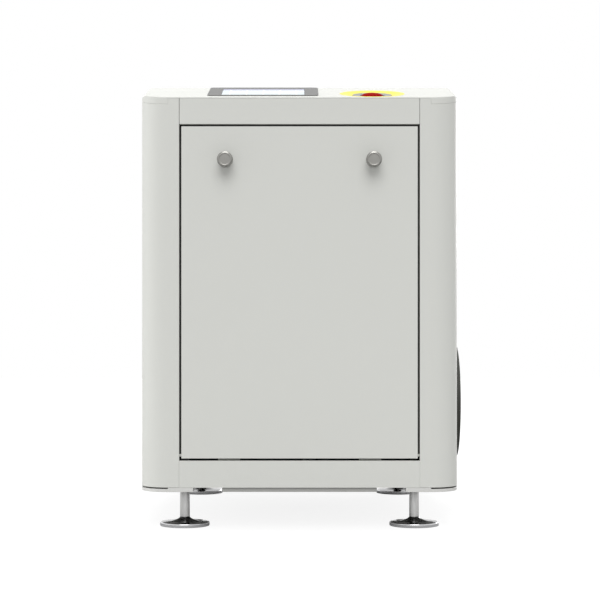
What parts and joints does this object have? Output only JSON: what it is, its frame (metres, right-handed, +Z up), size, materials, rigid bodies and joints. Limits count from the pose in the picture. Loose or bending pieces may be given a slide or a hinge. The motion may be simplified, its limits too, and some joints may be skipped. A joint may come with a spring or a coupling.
{
  "type": "aeration blower",
  "caption": "Cabinet-type oil-free turbo aeration blower with lift-off front panel, sloping console, levelling feet and side discharge flange.",
  "frame": {"origin": "on the floor under the middle of the cabinet", "axes": "+Z up, the front panel faces -Y, the discharge flange faces +X"},
  "size_m": [0.614, 0.7878, 0.809],
  "materials": {
    "frame_paint": "dark powder coat",
    "corner_plate": "light powder coat",
    "floor_sheet": "grey powder coat",
    "cabinet_paint": "fine-textured light warm grey powder coat",
    "seal_rubber": "matt black rubber",
    "foam": "open-cell charcoal foam",
    "zinc_steel": "zinc-plated",
    "satin_metal": "satin turned metal",
    "screen_plastic": "moulded grey plastic",
    "screen_glass": "lit display under a clear sheet",
    "estop_yellow": "yellow plastic",
    "estop_grey": "grey plastic",
    "dark_plastic": "black plastic",
    "signal_red": "red plastic",
    "foot_chrome": "chromed steel",
    "cast_aluminium": "cast aluminium",
    "shaft_steel": "ground steel",
    "lamination": "stacked laminations",
    "copper": "enamelled copper windings",
    "bronze": "bronze",
    "filter_paper": "pleated filter paper",
    "dark_cast": "dark painted casting",
    "drive_grey": "dark grey plastic over an aluminium heat sink",
    "module_grey": "light grey plastic"
  },
  "bodies": {
    "cabinet": {"base_frame": "frame_paint", "corner_plates": "corner_plate", "floor_panel": "floor_sheet", "upright_frame": "frame_paint", "left_side_shell": "cabinet_paint", "right_side_shell": "cabinet_paint", "header_strip": "cabinet_paint", "lower_front_rail": "cabinet_paint", "top_cover": "cabinet_paint", "rear_panel": "cabinet_paint", "intake_hood": "cabinet_paint", "panel_seal": "seal_rubber", "acoustic_foam": "foam", "cabinet_screws": "zinc_steel", "screen_case": "screen_plastic", "screen_glass": "screen_glass", "estop_ring": "estop_yellow", "estop_collar": "estop_grey", "foot_lock_nuts": "zinc_steel", "volute_casing": "cast_aluminium", "inlet_nozzle": "satin_metal", "motor_housing": "cast_aluminium", "stator_core": "lamination", "stator_windings": "copper", "journal_bearings": "bronze", "thrust_bearings": "bronze", "motor_end_cover": "cast_aluminium", "motor_cradle": "frame_paint", "rubber_mounts": "seal_rubber", "filter_box": "zinc_steel", "filter_cassette": "filter_paper", "outlet_reducer": "zinc_steel", "check_valve_body": "dark_cast", "rubber_joint": "seal_rubber", "discharge_flange": "dark_cast", "blowoff_valve": "zinc_steel", "blowoff_silencer": "dark_plastic", "mounting_plate": "zinc_steel", "inverter": "drive_grey", "controller": "module_grey", "cooling_fan_frame": "dark_plastic", "isolator_body": "dark_plastic", "cable_glands": "dark_plastic"},
    "front_panel": {"front_panel": "cabinet_paint", "panel_foam": "foam", "latch_bushes": "seal_rubber"},
    "left_knob": {"left_knob": "satin_metal"},
    "right_knob": {"right_knob": "satin_metal"},
    "estop_plunger": {"estop_plunger": "dark_plastic"},
    "estop_head": {"estop_head": "signal_red"},
    "front_left_foot": {"front_left_foot": "foot_chrome"},
    "front_right_foot": {"front_right_foot": "foot_chrome"},
    "rear_left_foot": {"rear_left_foot": "foot_chrome"},
    "rear_right_foot": {"rear_right_foot": "foot_chrome"},
    "rotor": {"rotor_shaft": "shaft_steel", "impeller": "cast_aluminium"},
    "check_flap": {"check_flap": "satin_metal"},
    "blowoff_piston": {"blowoff_piston": "bronze"},
    "cooling_fan_rotor": {"cooling_fan_rotor": "dark_plastic"},
    "isolator_handle": {"isolator_handle": "signal_red"}
  },
  "joints": [
    {"name": "front_panel_tilt", "type": "hinge", "parent": "cabinet", "child": "front_panel", "pos_m": [0, -0.351, 0.133], "axis": [1, 0, 0], "range_deg": [0, 25]},
    {"name": "left_knob_turn", "type": "hinge", "parent": "front_panel", "child": "left_knob", "pos_m": [-0.132, -0.36, 0.66], "axis": [0, -1, 0], "range_deg": [-180, 0]},
    {"name": "right_knob_turn", "type": "hinge", "parent": "front_panel", "child": "right_knob", "pos_m": [0.132, -0.36, 0.66], "axis": [0, -1, 0], "range_deg": [-180, 0]},
    {"name": "estop_press", "type": "slide", "parent": "cabinet", "child": "estop_plunger", "axis": [0, -0.2067, 0.9784], "range_m": [-0.004, 0], "stiffness_N_per_m": 1500, "springref_m": 0.002},
    {"name": "estop_twist", "type": "hinge", "parent": "estop_plunger", "child": "estop_head", "pos_m": [0.132, -0.29934, 0.78582], "axis": [0, -0.2067, 0.9784], "range_deg": [-45, 0], "stiffness_Nm_per_rad": 0.05},
    {"name": "rotor_spin", "type": "hinge", "parent": "cabinet", "child": "rotor", "pos_m": [-0.06, 0, 0.305], "axis": [0, 1, 0], "continuous": true},
    {"name": "check_flap_swing", "type": "hinge", "parent": "cabinet", "child": "check_flap", "pos_m": [0.14045, 0, 0.255], "axis": [0, -1, 0], "range_deg": [0, 60]},
    {"name": "blowoff_piston_lift", "type": "slide", "parent": "cabinet", "child": "blowoff_piston", "axis": [0, 0, 1], "range_m": [0, 0.012], "stiffness_N_per_m": 300, "springref_m": -0.005},
    {"name": "cooling_fan_spin", "type": "hinge", "parent": "cabinet", "child": "cooling_fan_rotor", "pos_m": [0, 0.36, 0.56], "axis": [0, 1, 0], "continuous": true},
    {"name": "isolator_turn", "type": "hinge", "parent": "cabinet", "child": "isolator_handle", "pos_m": [0.1598, 0.36, 0.42], "axis": [0, 1, 0], "range_deg": [0, 90]},
    {"name": "front_left_foot_level", "type": "slide", "parent": "cabinet", "child": "front_left_foot", "axis": [0, 0, 1], "range_m": [-0.01, 0.02]},
    {"name": "front_right_foot_level", "type": "slide", "parent": "cabinet", "child": "front_right_foot", "axis": [0, 0, 1], "range_m": [-0.01, 0.02]},
    {"name": "rear_left_foot_level", "type": "slide", "parent": "cabinet", "child": "rear_left_foot", "axis": [0, 0, 1], "range_m": [-0.01, 0.02]},
    {"name": "rear_right_foot_level", "type": "slide", "parent": "cabinet", "child": "rear_right_foot", "axis": [0, 0, 1], "range_m": [-0.01, 0.02]}
  ]
}
